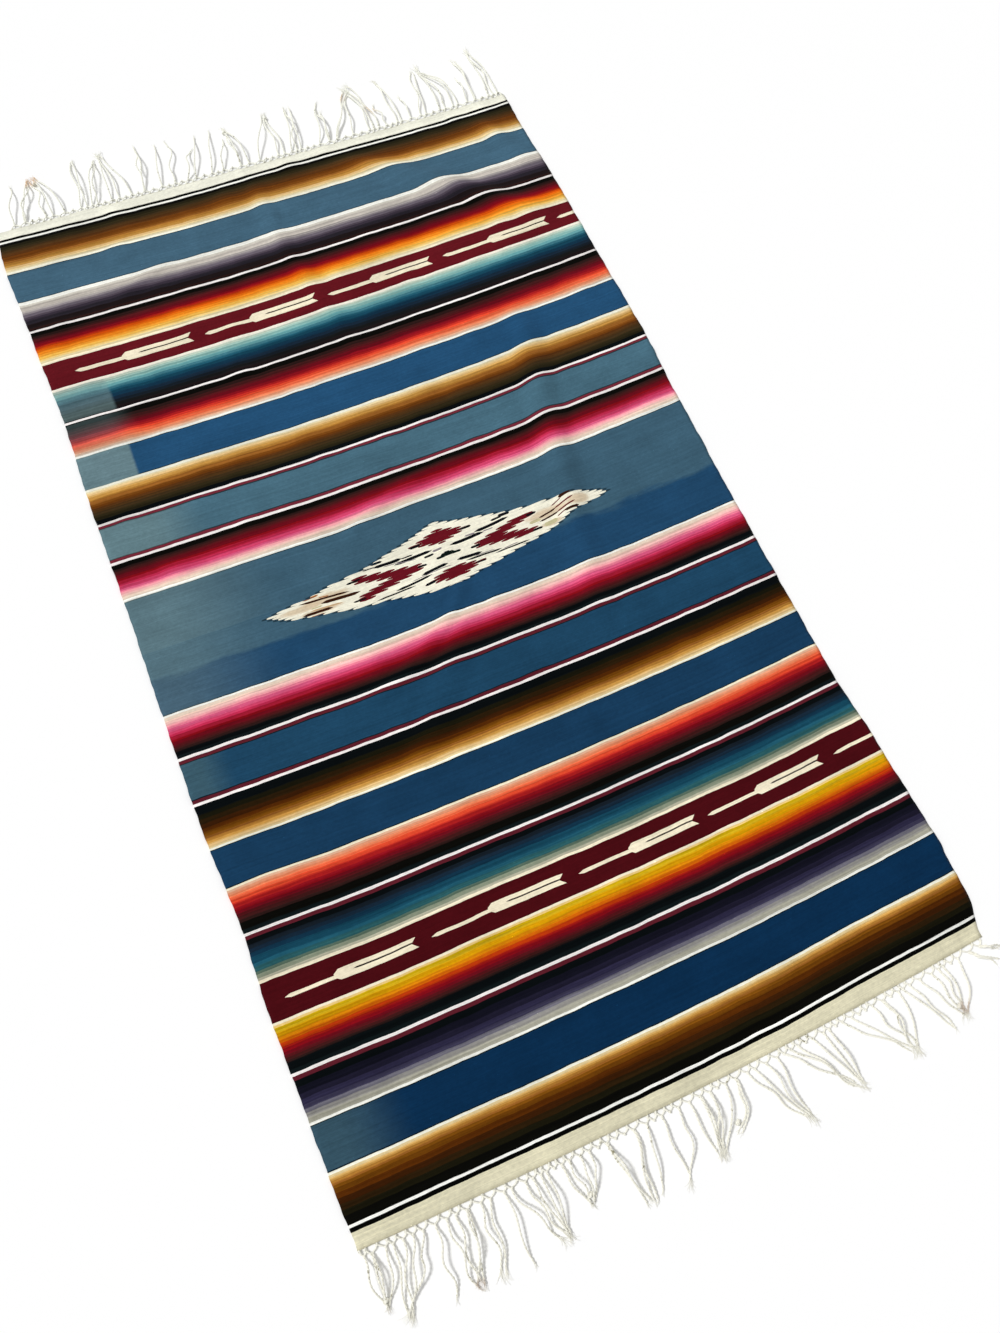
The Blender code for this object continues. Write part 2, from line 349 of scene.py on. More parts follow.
# The web's yarns by shade card code, and its bands from the far end to the near end.
web = {
    "cell": 0.0050,
    "wall": 0.0018,
    # the stretches along the loom, in metres, that have a motif, and its wool
    "motifs": [
        ("arrowBandWool", "arrows", [(0.41, 0.48), (-0.485, -0.415)]),
        ("centreFieldWool", "lozenge", [(-0.06, 0.06)]),
    ],
    "yarns": {
        # undyed and bleached; the near header's cream is darker as painted shade, for the light falling off
        # toward the near end
        "bleached": "fffff6", "ivory": "fffdea", "blush": "fff9f6", "cream": "fff4d6", "paleCream": "fff9e8",
        "farHeader": "fcfbea", "shadedNearHeader": "e8e2c3", "agedWhite": "fcfcf6",
        # blacks
        "black": "0a0a07", "coolBlack": "080d0f", "warmBlack": "120d0a", "jet": "040504",
        # browns
        "soot": "262213", "moss": "322a17", "bark": "40301b", "umber": "4d3318", "chestnut": "5b3515",
        "saddle": "6e3c10", "copper": "814a16", "toffee": "9b6126", "caramel": "b47c33", "ochre": "cc9648",
        "honey": "dbad62", "wheat": "ebc588", "straw": "eed6a0", "ecru": "f1e6c2",
        "pitch": "18160a", "peat": "2b1c0a", "loam": "3b1d07", "walnut": "542906",
        "teak": "6c3e0a", "cedar": "845010",
        # purples
        "raven": "1e1617", "nightPlum": "28242c", "plum": "3b333f", "grape": "544a56", "heather": "6e6570",
        "ashMauve": "8e868a", "dove": "b3aca8", "pearlGrey": "cdc5bb", "pearl": "e2ddd0",
        "inkViolet": "131320", "nightViolet": "1e1c2e", "violet": "2c2942", "dustyViolet": "3c3951",
        "fogViolet": "72707c", "cloud": "94928e", "stone": "aeac9c",
        # oranges and yellows
        "darkWine": "2e1a18", "wine": "431a1a", "oxblood": "58161b", "garnet": "6d0e1b", "carmine": "870d18",
        "brick": "a01a14", "rust": "c03a0c", "orange": "dc520a", "tangerine": "ea6e10", "apricot": "f2891e",
        "gold": "fba636", "maize": "fac055", "butter": "f6d486", "vanilla": "f0e0b0",
        "saffron": "dcb51e", "mustard": "d8b20e", "amber": "dfa008", "pumpkin": "e48c0c",
        "burntOrange": "d4660a",
        # teals
        "ink": "18191a", "deepInk": "161f28", "midnight": "17293a", "petrol": "12344a", "deepTeal": "16475c",
        "teal": "225c70", "lagoon": "437e8c", "turquoise": "68a4a8", "aqua": "8abab4", "mist": "a4c6ba",
        "seafoam": "c8d8c6", "spruce": "2c5e64", "lichen": "5a6f60", "sage": "8c9580", "flax": "c2bfa8",
        # corals
        "ruby": "8f121e", "scarlet": "b01f20", "poppy": "d43428", "vermilion": "ea4e30", "coral": "f26a44",
        "salmon": "f48a60", "peach": "f09e78", "shellPeach": "eab898", "sand": "e8d0ba",
        # pinks
        "cerise": "a81c34", "crimsonPink": "c42c50", "magenta": "d8446c", "hotPink": "e8608a", "pink": "f0829a",
        "rose": "fcaab0", "petal": "fcc6c0", "blossom": "f6cebe", "shell": "eedac6",
        # the plain blues and the maroon of the arrow bands
        "farBlue": "476a80", "paleBlue": "4b7082", "strongBlue": "255278", "centreFar": "416377",
        "centreNear": "224a6c", "nearBlue": "1f4865", "deepBlue": "193e5e", "navy": "0b2f50",
        "edgeBlue": "24363c", "edgeNavy": "122026", "farMaroon": "68161f", "nearMaroon": "4d0d14",
        "crimsonLine": "7c2c3a", "darkRedLine": "62202c", "tealLine": "10191b",
    },
    # where each band ends, in mm along the loom, and its yarns in order with their shares;
    # in a blended band the picks of neighbouring shades alternate where they meet
    "bandsFrom": 712.0,
    "bands": [
        ("plain", 697.0, [("farHeader", 15)]),
        ("plain", 689.4, [("jet", 4.2), ("bleached", 3.4)]),
        ("blended", 636.8, [
            ("black", 5), ("soot", 4), ("moss", 3), ("bark", 3.5), ("umber", 4.5), ("chestnut", 4),
            ("saddle", 6), ("copper", 3.5), ("toffee", 3), ("caramel", 3.5), ("ochre", 3.5), ("wheat", 4),
            ("straw", 3), ("ecru", 2.5)]),
        ("plain", 580.6, [("ivory", 3.2), ("edgeBlue", 1.2), ("farBlue", 50.6), ("edgeBlue", 1.2)]),
        ("plain", 575.4, [("bleached", 5.2)]),
        ("blended", 530.0, [
            ("pearl", 2.5), ("pearlGrey", 8), ("dove", 3.5), ("ashMauve", 3), ("heather", 4), ("grape", 3.5),
            ("plum", 3.5), ("nightPlum", 6), ("raven", 8.5), ("darkWine", 3)]),
        ("plain", 524.6, [("warmBlack", 1.2), ("blush", 3.5), ("warmBlack", 0.7)]),
        ("blended", 472.4, [
            ("black", 5.5), ("darkWine", 3.5), ("wine", 3.5), ("oxblood", 3.5), ("garnet", 4),
            ("carmine", 2.5), ("brick", 2.5), ("rust", 2.5), ("orange", 3), ("tangerine", 3),
            ("apricot", 3.5), ("gold", 4), ("maize", 3.5), ("butter", 4), ("vanilla", 3.5)]),
        ("plain", 421.2, [("cream", 3.8), ("farMaroon", 43.4), ("paleCream", 4)]),
        ("blended", 368.6, [
            ("seafoam", 3), ("mist", 3.5), ("aqua", 4.5), ("turquoise", 4), ("lagoon", 4), ("teal", 3.5),
            ("deepTeal", 5), ("petrol", 5), ("midnight", 4.5), ("deepInk", 5), ("ink", 5), ("raven", 5)]),
        ("plain", 363.6, [("coolBlack", 0.9), ("blush", 3.3), ("coolBlack", 0.8)]),
        ("blended", 311.0, [
            ("black", 7), ("darkWine", 4.5), ("wine", 4), ("oxblood", 4), ("garnet", 4.5), ("ruby", 3.5),
            ("scarlet", 3), ("poppy", 3), ("vermilion", 3.5), ("coral", 4), ("salmon", 3), ("peach", 3),
            ("shellPeach", 2.5), ("sand", 2.5)]),
        ("plain", 252.8, [
            ("bleached", 3.0), ("edgeBlue", 1.4), ("strongBlue", 49.2), ("edgeBlue", 1.4), ("ivory", 3.2)]),
        ("blended", 200.6, [
            ("ecru", 2), ("straw", 2), ("wheat", 3), ("honey", 2.5), ("ochre", 4), ("caramel", 3),
            ("toffee", 6), ("copper", 2.5), ("saddle", 4), ("chestnut", 3.5), ("umber", 4.5), ("bark", 4.5),
            ("moss", 4), ("soot", 4), ("coolBlack", 6)]),
        ("plain", 134.8, [
            ("coolBlack", 0.6), ("blush", 3.5), ("crimsonLine", 3.6), ("edgeBlue", 1.6), ("paleBlue", 45.4),
            ("edgeBlue", 1.4), ("crimsonLine", 4.2), ("blush", 3.7), ("black", 1.8)]),
        ("blended", 86.2, [
            ("black", 4.5), ("darkWine", 3), ("wine", 3), ("oxblood", 3), ("garnet", 5), ("carmine", 3),
            ("cerise", 5), ("crimsonPink", 3), ("magenta", 4.5), ("hotPink", 2.5), ("pink", 2.5), ("rose", 2),
            ("petal", 2.5), ("blossom", 2), ("shell", 4)]),
        ("plain", 20.0, [("bleached", 3.6), ("edgeBlue", 1.3), ("centreFar", 61.3)]),
        ("plain", -86.0, [("centreFar", 50), ("centreNear", 52.2), ("edgeNavy", 1.1), ("bleached", 2.7)]),
        ("blended", -137.6, [
            ("shell", 4), ("blossom", 3), ("petal", 3), ("rose", 2.5), ("pink", 3), ("hotPink", 4),
            ("magenta", 3.5), ("crimsonPink", 3.5), ("cerise", 4.5), ("carmine", 3), ("garnet", 4),
            ("oxblood", 3), ("wine", 3), ("darkWine", 3), ("coolBlack", 6)]),
        ("plain", -205.8, [
            ("tealLine", 3.6), ("blush", 3.4), ("darkRedLine", 4.2), ("edgeNavy", 1.4), ("nearBlue", 45.9),
            ("edgeNavy", 1.2), ("darkRedLine", 4.4), ("blush", 3.3), ("coolBlack", 0.8)]),
        ("blended", -259.8, [
            ("coolBlack", 10), ("pitch", 6), ("peat", 6), ("loam", 5), ("walnut", 4.3), ("teak", 3),
            ("cedar", 3.6), ("toffee", 2.5), ("caramel", 3.1), ("ochre", 3), ("honey", 2), ("wheat", 3),
            ("straw", 2.5)]),
        ("plain", -317.4, [
            ("ivory", 2.5), ("edgeNavy", 1.3), ("deepBlue", 49.6), ("edgeNavy", 1.3), ("cream", 2.9)]),
        ("blended", -366.0, [
            ("shellPeach", 3), ("peach", 2.5), ("salmon", 3), ("coral", 3.5), ("vermilion", 4),
            ("poppy", 2.5), ("scarlet", 4), ("ruby", 2.5), ("carmine", 2.5), ("garnet", 3), ("oxblood", 3.5),
            ("wine", 3.5), ("darkWine", 3.5), ("black", 8.5)]),
        ("plain", -378.6, [("tealLine", 4.9), ("blush", 3.2), ("darkRedLine", 4.5)]),
        ("blended", -425.0, [
            ("coolBlack", 6), ("deepInk", 4), ("midnight", 4), ("petrol", 4.5), ("deepTeal", 7), ("teal", 4),
            ("spruce", 5.5), ("lichen", 3), ("sage", 3.5), ("flax", 3)]),
        ("plain", -475.3, [("cream", 3.2), ("nearMaroon", 44), ("cream", 3)]),
        ("blended", -526.0, [
            ("butter", 2), ("mustard", 3), ("saffron", 3), ("amber", 6), ("pumpkin", 3.5),
            ("burntOrange", 3.5), ("rust", 4.5), ("brick", 3), ("carmine", 3.5), ("garnet", 3.5),
            ("oxblood", 3.5), ("wine", 3), ("darkWine", 2.5), ("coolBlack", 9)]),
        ("plain", -539.0, [("tealLine", 4.8), ("blush", 3.4), ("darkRedLine", 4.8)]),
        ("blended", -586.2, [
            ("coolBlack", 7.5), ("inkViolet", 8.5), ("nightViolet", 6), ("violet", 5.5), ("dustyViolet", 5.5),
            ("fogViolet", 4.5), ("cloud", 5), ("stone", 6)]),
        ("plain", -642.4, [
            ("bleached", 2.7), ("edgeNavy", 1.3), ("navy", 48), ("edgeNavy", 1.3), ("ivory", 2.9)]),
        ("blended", -694.0, [
            ("straw", 2.5), ("honey", 2.2), ("ochre", 1.6), ("caramel", 2.2), ("toffee", 2.2), ("cedar", 3.1),
            ("teak", 4.5), ("walnut", 6), ("loam", 6), ("peat", 6), ("pitch", 6), ("black", 9.3)]),
        ("plain", -702.3, [("jet", 0.5), ("agedWhite", 3.1), ("jet", 4.7)]),
        # the near header, in a cream darkened as painted shade
        ("plain", -724.0, [("shadedNearHeader", 21.7)]),
    ],
}


def weaveGroup():
    # weft picks beaten down over hidden warps: short bumps, laid like bricks
    tree, given, out = newGroup(
        "weftWeave", {"Across": 0.0, "Along": 0.0, "Rib": 2.3, "Pick": 0.75}, ["Height", "Tone", "Shuttle"])
    row = over(given["Along"], given["Pick"])
    rowIndex = calc("FLOOR", row)
    odd = calc("PINGPONG", rowIndex, 1.0)
    rib = calc("FRACT", timesPlus(odd, 0.5, over(given["Across"], given["Rib"])))
    overWarp = calc("SINE", times(rib, math.pi))
    overPick = calc("SINE", times(calc("FRACT", row), math.pi))
    feed(out["Height"], times(calc("SQRT", overWarp), calc("SQRT", overPick)))
    chance = addNode(tree, "ShaderNodeTexWhiteNoise", noise_dimensions="1D")
    feed(chance.inputs["W"], rowIndex)
    feed(out["Tone"], chance.outputs["Value"])
    feed(out["Shuttle"], timesPlus(odd, 2.0, -1.0))
    return tree


# The web's uneven dye and wear, each a noise: its cell across and along in mm, detail, roughness
# and seed, and for those that shade the yarn how strongly. The wool sets Picks for each band.
wear = {
    "Picks": (240.0, 2.9, 2.0, 0.60, 3.1, 0.20),
    "Short": (16.0, 1.2, 3.0, 0.65, 6.4, 0.05),
    "Grain": (4.6, 3.2, 3.0, 0.65, 15.2, 0.22),
    "Clouds": (62.0, 38.0, 4.0, 0.60, 7.7, 0.26),
    "Washing": (30.0, 420.0, 3.0, 0.55, 1.3, 0.07),
    "Nap": (1.6, 1.1, 3.0, 0.70, 5.9, None),
    "Lint": (2.6, 2.0, 1.0, 0.50, 12.5, None),
}


def wearGroup():
    # Tone is 1 for the plain shade; Nap is the fuzz of the yarn
    strengths = {name: values[-1] for name, values in wear.items() if values[-1] is not None}
    tree, given, out = newGroup("dyeAndWear", {"Across": 0.0, "Along": 0.0, **strengths}, ["Tone", "Nap"])
    noise = {}
    for name, (acrossCell, alongCell, *rest) in wear.items():
        noise[name] = streaks(over(given["Across"], acrossCell), over(given["Along"], alongCell), *rest[:3])
    tone = times(*[timesPlus(minus(noise[name], 0.5), times(given[name], 2.0), 1.0) for name in strengths])
    lint = times(stepUp(noise["Lint"], 0.795, 0.84), 1.1)
    feed(out["Tone"], plus(tone, lint))
    feed(out["Nap"], noise["Nap"])
    return tree


def stepRamp(position, stops):
    # flat colours in order: where each starts, from 0 to 1, and the colour
    made = addBeside([position], "ShaderNodeValToRGB")
    ramp = made.color_ramp
    ramp.interpolation = "CONSTANT"
    for i, (place, colour) in enumerate(stops):
        stop = ramp.elements.new(place) if i else ramp.elements[0]
        stop.position, stop.color = place, colour
    while len(ramp.elements) > len(stops):
        ramp.elements.remove(ramp.elements[-1])
    feed(made.inputs["Fac"], position)
    return made.outputs["Color"]


def bandChartGroup():
    # the yarn's colour by distance along the loom, and 1 where shades are blended; Shuttle is -1 or 1 by pick
    tree, given, out = newGroup(
        "bandChart", {"Along": 0.0, "Shuttle": 0.0, "Blend": 0.35}, ["Yarn Colour", "Shaded"])
    along = given["Along"]
    blended = timesPlus(given["Shuttle"], given["Blend"], along)
    length = web["bandsFrom"] - web["bands"][-1][1]
    colour, start, shaded = None, web["bandsFrom"], []
    for kind, end, yarns in web["bands"]:
        total, done, stops = sum(share for name, share in yarns), 0.0, []
        for name, share in yarns:
            stops.append((done / total, dye(web["yarns"][name])))
            done += share
        band = stepRamp(over(minus(start, blended if kind == "blended" else along), start - end), stops)
        colour = band if colour is None else mixColours(isBelow(along, start), colour, band)
        mark = (1, 1, 1, 1) if kind == "blended" else (0, 0, 0, 1)
        if not shaded or shaded[-1][1] != mark:
            shaded.append(((web["bandsFrom"] - start) / length, mark))
        start = end
    feed(out["Yarn Colour"], colour)
    feed(out["Shaded"], stepRamp(over(minus(web["bandsFrom"], along), length), shaded))
    return tree


# Patches at the left side that light and washing have faded: far, near and right edge, how soft
# the side is, how much of the colour is gone and what it fades to. All in mm on the loom.
fades = {
    "shades": {"pale": "7d9899", "dull": "4c6c76"},
    "patches": [
        (421, 369, -333, 3, 0.38, "pale"),
        (363, 311, -332, 24, 0.16, "pale"),
        (308, 256, -333, 2.5, 0.72, "pale"),
        (192, 145, -305, 40, 0.50, "pale"),
        (83, 5, -290, 90, 0.42, "pale"),
        (5, -83, -310, 80, 0.30, "pale"),
        (-150, -196, -366, 22, 0.62, "dull"),
        (-590, -638, -340, 45, 0.55, "dull"),
    ],
}


def fadingGroup():
    tree, given, out = newGroup(
        "fadedPatches", {"Across": 0.0, "Along": 0.0, "Yarn Colour": (0.5, 0.5, 0.5, 1.0)}, ["Faded Colour"])
    across, along, colour = given["Across"], given["Along"], given["Yarn Colour"]
    ragged = timesPlus(streaks(over(across, 14.0), over(along, 9.0), detail=3.0), 10.0, -5.0)
    for far, near, right, soft, share, shade in fades["patches"]:
        place = timesPlus(ragged, min(1.0, soft / 20.0), across)
        side = minus(1.0, stepUp(place, right - soft, right + soft))
        patch = times(side, times(isBelow(along, far), isAbove(along, near)), share)
        colour = mixColours(patch, colour, dye(fades["shades"][shade]))
    feed(out["Faded Colour"], colour)
    return tree


# The arrows of the two maroon bands, in mm: the middle of the band along the loom, the shaft's
# and the body's thickness, and for each arrow where its shaft starts, its body starts and it ends.
arrows = {
    "far": {
        "middle": 447.0, "shaft": 5.6, "body": 14.6, "slit": 1.9,
        "each": [(-366, -300, -200), (-183, -116, -15), (1, 68, 165), (183, 258, 358), (374, 448, 540)],
    },
    "near": {
        "middle": -449.6, "shaft": 4.0, "body": 12.2, "slit": 1.7,
        "each": [(-382, -324, -225), (-208, -136, -39), (-22, 47, 141), (156, 226, 325), (343, 412, 500)],
    },
}


def arrowGroup():
    # one arrow: a thin shaft, then a body with a slit and a swallow tail
    tree, given, out = newGroup("arrow", {
        "Across": 0.0, "Along": 0.0, "Start": 0.0, "Body Start": 60.0, "End": 160.0,
        "Shaft": 5.0, "Body": 14.0, "Slit": 2.0}, ["Arrow", "Slit"])
    across, along = given["Across"], given["Along"]
    fromStart, fromBody = minus(across, given["Start"]), minus(across, given["Body Start"])

    def halfOf(thickness, grown):
        return times(thickness, calc("MINIMUM", 0.5, grown))

    # the shaft lies a little nearer than the body and comes to a point
    shaftHalf = halfOf(given["Shaft"], times(fromStart, 0.07))
    shaft = times(isBelow(gap(along, -1.5), shaftHalf), isBelow(fromBody, 3.0))
    # the body widens over its first few picks
    bodyHalf = halfOf(given["Body"], timesPlus(fromBody, 0.055, 0.17))
    off = calc("ABSOLUTE", along)
    tail = timesPlus(over(off, times(given["Body"], 0.5)), -7.0, 7.0)
    body = times(isBelow(off, bodyHalf), isAbove(fromBody, 0.0), isAbove(minus(given["End"], across), tail))
    # the slit opens slowly along the middle of the body
    slitHalf = halfOf(given["Slit"], timesPlus(fromBody, 0.1, -2.2))
    feed(out["Arrow"], calc("MAXIMUM", shaft, body))
    feed(out["Slit"], times(isBelow(gap(along, 0.5), slitHalf), body))
    return tree


# The lozenge of the centre field, in mm from the middle of the field. It is woven in rows that
# end in blunt points.
lozenge = {
    "row": 3.2,
    "tooth": 8.0,
    "outline": 7.0,        # how far a dark edge yarn reaches past the points
    "ground": "fffbe6",
    "colours": {
        "maroon": "6c1420", "soot": "101216", "edge": "14262e", "mark": "0c1a16", "brown": "3a1d10",
        "tan": "d2b088", "rust": "b06c34", "grey": "8f868a", "olive": "cfc79c", "aged": "e2caa8",
    },
    # how far the ground reaches to the left and to the right at each height
    "leftReach": [
        (-49, 8), (-46, 36), (-41, 68), (-34, 98), (-31, 128), (-27, 154), (-22, 182), (-16, 220), (-9, 236),
        (-3, 248), (2, 224), (7, 182), (14, 158), (17, 128), (20, 104), (24, 90), (32, 52), (40, 24), (45, 8),
    ],
    "rightReach": [
        (-47, 6), (-43, 20), (-38, 50), (-33, 80), (-28, 108), (-25, 128), (-21, 152), (-17, 166), (-11, 182),
        (-7, 202), (-4.5, 226), (0.5, 242), (6, 230), (11, 214), (15, 200), (18, 172), (21, 132), (26, 94),
        (31, 70), (36, 42), (41, 20), (46, 2),
    ],
    # maroon figures of the middle: across, along, half length, how fast it shortens for each mm to
    # the far and to the near side, how far it reaches to both, and how it leans
    "diamonds": [
        (-1.0, 24.0, 45.0, (3.8, 4.1), (9.8, 9.8), 0.01),
        (0.0, -31.0, 45.0, (4.3, 4.1), (8.6, 8.6), 0.07),
    ],
    # arrowheads: apex across and along, direction, slope of the rows across, how far they spread
    "heads": [(-43.0, -6.4, -1, 0.000, 16.6), (44.0, -5.8, 1, 0.050, 16.0)],
    # strokes: colour, from and to across, along at both ends, thickness
    "strokes": [
        ("soot", -139, -118, 6.6, 7.6, 2.2), ("soot", -139, -120, -20.2, -20.8, 2.0),
        ("soot", -45, -31, -6.8, -6.8, 2.2), ("soot", -45, -28, 22.4, 22.8, 2.6),
        ("soot", 28, 45, 24.2, 23.8, 2.6), ("soot", -45, -29, -34.0, -33.6, 2.4),
        ("soot", 29, 45, -28.8, -29.2, 1.8), ("soot", 31, 46, -6.2, -6.2, 2.4),
        ("soot", 120, 136, 9.0, 9.2, 2.6), ("soot", 120, 136, -14.8, -14.6, 2.4),
        ("soot", -99, -58, 15.4, 13.9, 3.4), ("soot", -113, -96, 16.6, 16.0, 1.2),
        ("soot", -60, -43, 13.2, 13.0, 1.4), ("soot", -101, -84, 21.0, 20.4, 2.6),
        ("soot", -72, -17, 8.6, 9.6, 3.2), ("grey", -70, -40, 9.6, 5.6, 0.9),
        ("grey", -18, -4, 7.4, 7.6, 2.2), ("soot", -32, -17, 3.2, 4.2, 2.2),
        ("grey", -86, -60, 11.8, 10.4, 0.9), ("soot", 72, 90, 20.4, 21.6, 2.2),
        ("soot", 84, 102, 23.2, 23.0, 3.2), ("soot", 44, 98, 12.8, 17.2, 3.2),
        ("grey", 30, 46, 12.0, 11.4, 1.6), ("soot", 6, 58, 6.8, 9.2, 3.2), ("grey", 56, 72, 10.4, 10.2, 1.2),
        ("soot", -111, -56, -29.8, -28.8, 1.6), ("soot", -83, -30, -26.4, -23.6, 2.4),
        ("grey", -60, -18, -22.0, -20.6, 0.9), ("soot", -44, -5, -19.4, -15.8, 3.4),
        ("grey", -26, -2, -20.4, -20.0, 0.8), ("soot", 7, 44, -15.6, -17.2, 3.2),
        ("soot", 18, 72, -20.8, -22.6, 1.9), ("grey", 30, 62, -19.2, -20.0, 0.8),
        ("soot", 58, 112, -25.8, -24.8, 1.5), ("grey", 72, 96, -23.8, -22.4, 0.9),
        ("mark", -17.5, -4, -4.2, -3.8, 2.6), ("mark", -11, 10, -2.6, -2.4, 4.0),
        ("mark", 4, 18.5, -3.6, -3.8, 2.4), ("mark", -5, 4, -0.8, -0.8, 3.0),
        ("rust", -198, -176, 4.6, 6.2, 2.0), ("brown", -205, -137, 0.8, -3.0, 2.2),
        ("rust", -178, -164, 2.2, 0.6, 1.2), ("brown", -178, -124, -6.8, -8.4, 3.4),
        ("olive", -192, -176, -10.2, -9.8, 1.4), ("tan", -194, -150, -12.8, -14.6, 1.8),
        ("brown", -205, -164, -16.4, -16.8, 3.0), ("rust", -196, -176, -20.8, -21.4, 1.6),
        ("maroon", 158, 176, 8.4, 13.4, 1.2), ("brown", 172, 192, 15.0, 17.2, 3.6),
        ("brown", 135, 164, -1.0, 3.2, 1.8), ("maroon", 160, 192, 3.0, 9.6, 1.7),
        ("brown", 134, 166, -6.2, -3.0, 1.8), ("maroon", 162, 192, -3.2, 2.0, 1.7),
        ("maroon", 160, 178, -9.2, -5.0, 1.2), ("brown", 172, 194, -6.6, -6.4, 2.8),
        ("olive", 120, 138, -3.4, -3.0, 3.2), ("olive", 138, 160, -13.6, -12.0, 4.6),
    ],
    # patches of yellowed yarn: across, along, half length and half height
    "aged": [
        (-205, -6.5, 28, 5), (197, 3, 18, 8), (-168, -2, 34, 7), (-180, -16, 30, 4), (150, 2, 34, 7),
        (150, -14, 18, 4),
    ],
    # the field's two blues meet on a cloudy line under the lozenge: along at the left and the right
    "blueTurn": (-35.0, -25.0),
}


def curveThrough(value, points, least, most, top):
    # a value read off straight lines through the given points
    made = addBeside([value], "ShaderNodeFloatCurve")
    curve = made.mapping.curves[0]
    while len(curve.points) < len(points):
        curve.points.new(0.5, 0.5)
    for point, (at, reach) in zip(curve.points, points):
        point.location = ((at - least) / (most - least), max(0.0, reach / top))
        point.handle_type = "VECTOR"
    made.mapping.update()
    feed(made.inputs["Value"], over(minus(value, least), most - least))
    return times(made.outputs[0], top)


def pointedRowsGroup():
    # splits the height into woven rows: each row's middle, and how far its point sticks out
    tree, given, out = newGroup(
        "pointedRows", {"Along": 0.0, "Row": 3.2, "Tooth": 8.0}, ["Row Middle", "Point"])
    rows = over(given["Along"], given["Row"])
    rowIndex = calc("ROUND", rows)
    feed(out["Row Middle"], times(rowIndex, given["Row"]))
    feed(out["Point"], times(given["Tooth"], times(calc("POWER", gap(rows, rowIndex), 3.0), -8.0)))
    return tree


def strokeGroup():
    # a thin stroke of one yarn, thick for most of its length and pointed at its ends
    tree, given, out = newGroup("stroke", {
        "Across": 0.0, "Along": 0.0, "From": 0.0, "To": 20.0, "Along From": 0.0, "Along To": 0.0,
        "Thick": 2.0}, ["Stroke"])
    share = over(minus(given["Across"], given["From"]), minus(given["To"], given["From"]))
    place = timesPlus(share, minus(given["Along To"], given["Along From"]), given["Along From"])
    toEnd = calc("MINIMUM", share, minus(1.0, share))
    half = times(given["Thick"], calc("MINIMUM", 0.62, times(toEnd, 4.0)))
    feed(out["Stroke"], isBelow(gap(given["Along"], place), half))
    return tree


def lozengeGroup():
    tree, given, out = newGroup("lozenge", {"Across": 0.0, "Along": 0.0}, ["Woven Colour"])
    pointedRows, stroke = pointedRowsGroup(), strokeGroup()
    across, along = given["Across"], given["Along"]
    shades = {name: dye(code) for name, code in lozenge["colours"].items()}

    # the ground of the field: two blues that meet on a soft, cloudy line
    cloud = streaks(over(across, 55.0), over(along, 13.0), detail=4.0, seed=8.8)
    left, right = lozenge["blueTurn"]
    turn = timesPlus(stepUp(across, -160.0, 160.0), right - left, left)
    turn = plus(turn, timesPlus(cloud, 26.0, -13.0))
    field = mixColours(
        stepUp(minus(along, turn), -5.0, 5.0), dye(web["yarns"]["centreNear"]), dye(web["yarns"]["centreFar"]))

    def split(height):
        rows = useGroup(pointedRows, {"Along": height, "Row": lozenge["row"], "Tooth": lozenge["tooth"]})
        return rows["Row Middle"], rows["Point"]

    middle, point = split(along)
    reachLeft = plus(curveThrough(middle, lozenge["leftReach"], -50.0, 50.0, 260.0), point)
    reachRight = plus(curveThrough(middle, lozenge["rightReach"], -50.0, 50.0, 260.0), point)

    def within(more):
        # inside the lozenge, or inside an outline that reaches further out than it
        return times(isAbove(plus(across, more), times(reachLeft, -1.0)),
                     isBelow(minus(across, more), reachRight),
                     isBelow(calc("ABSOLUTE", along), 47.5 + more / 8))

    field = mixColours(times(within(lozenge["outline"]), 0.75), field, shades["edge"])

    # yellowed patches of the ground
    colour = dye(lozenge["ground"])
    mottle = streaks(over(across, 12.0), over(along, 4.0))
    for middleAcross, middleAlong, halfLength, halfHeight in lozenge["aged"]:
        away = plus(calc("POWER", over(minus(across, middleAcross), halfLength), 2.0),
                    calc("POWER", over(minus(along, middleAlong), halfHeight), 2.0))
        away = plus(away, timesPlus(mottle, 1.2, -0.6))
        colour = mixColours(times(minus(1.0, stepUp(away, 0.3, 1.3)), 0.8), colour, shades["aged"])

    for middleAcross, middleAlong, halfLength, tapers, reaches, lean in lozenge["diamonds"]:
        middle, point = split(minus(along, timesPlus(across, lean, middleAlong)))
        shorter = calc("MAXIMUM", times(middle, tapers[0]), times(middle, -tapers[1]))
        reach = plus(minus(halfLength, shorter), point)
        mask = times(isBelow(gap(across, middleAcross), reach),
                     isBelow(middle, reaches[0]), isAbove(middle, -reaches[1]))
        colour = mixColours(mask, colour, shades["maroon"])

    for apex, middleAlong, towards, slope, spread in lozenge["heads"]:
        outwards = times(minus(across, apex), towards)
        middle, point = split(minus(minus(along, middleAlong), times(outwards, slope)))
        away = calc("ABSOLUTE", middle)
        start = minus(calc("MAXIMUM", timesPlus(away, 5.6, -24.0), -10.0), point)
        end = plus(calc("MINIMUM", timesPlus(away, 4.4, 44.0), 88.0), point)
        mask = times(isAbove(outwards, start), isBelow(outwards, end), isBelow(away, spread))
        colour = mixColours(mask, colour, shades["maroon"])

    for name, start, end, alongStart, alongEnd, thick in lozenge["strokes"]:
        mask = useGroup(stroke, {
            "Across": across, "Along": along, "From": start, "To": end,
            "Along From": alongStart, "Along To": alongEnd, "Thick": thick})["Stroke"]
        colour = mixColours(mask, colour, shades[name])
    feed(out["Woven Colour"], mixColours(within(0.0), field, colour))
    return tree


wool = {
    "roughness": 0.89,     # where the yarn is smoothest; its nap adds to it
    "relief": 0.00022,     # depth of the weave, in metres
    "wander": 1.3,         # how far a weft row strays, in mm
    "fieldStreaks": 0.16,  # how uneven the picks are in a plain field, and how much more in a shaded band
    "bandStreaks": 0.42,
    "slit": "2a201c",      # the slit in an arrow's body
    "finish": {"Specular IOR Level": 0.02, "Sheen Weight": 0.03, "Sheen Roughness": 0.40},
}


